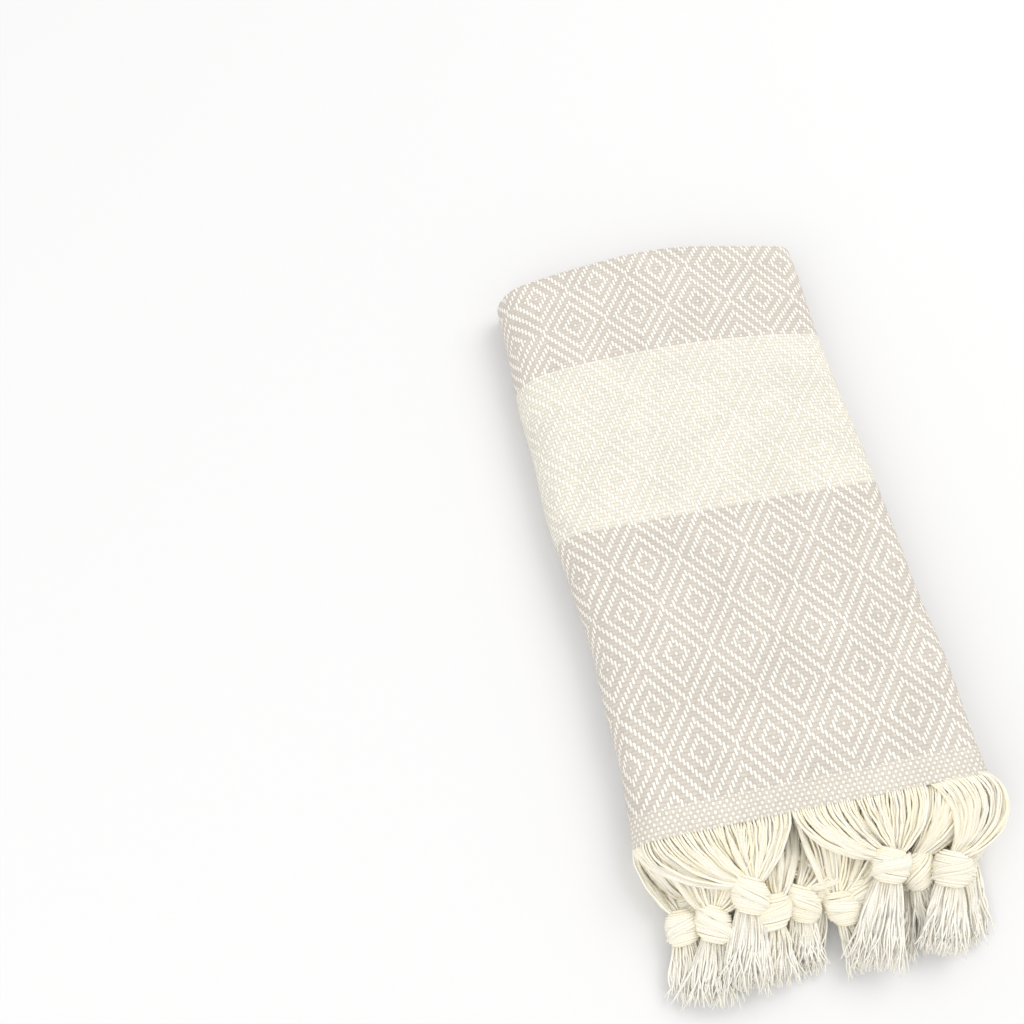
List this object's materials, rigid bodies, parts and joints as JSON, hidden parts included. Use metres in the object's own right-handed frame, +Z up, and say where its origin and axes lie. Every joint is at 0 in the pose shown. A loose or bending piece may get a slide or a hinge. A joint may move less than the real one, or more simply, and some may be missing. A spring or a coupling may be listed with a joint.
{
  "type": "folded hammam towel with knotted fringe",
  "caption": "Woven cotton hammam towel folded into a soft rectangle, with diamond twill, a plain pale band and knotted tassels along the near end.",
  "frame": {"origin": "on the flat underside of the lowest ply, below the middle of the cloth", "axes": "+X across the folded towel to its double fold, +Y from the fringe to the far fold, +Z up"},
  "size_m": [0.1251, 0.2769, 0.0216],
  "materials": {
    "woven_cloth": "undyed and greige cotton in a small diamond twill, with a cream band, soft and matt",
    "fringe_yarn": "loose cream cotton warp, gathered, knotted and frayed"
  },
  "bodies": {
    "root": {"cloth": "woven_cloth", "outer_fringe": "fringe_yarn", "inner_fringe": "fringe_yarn"}
  },
  "joints": []
}
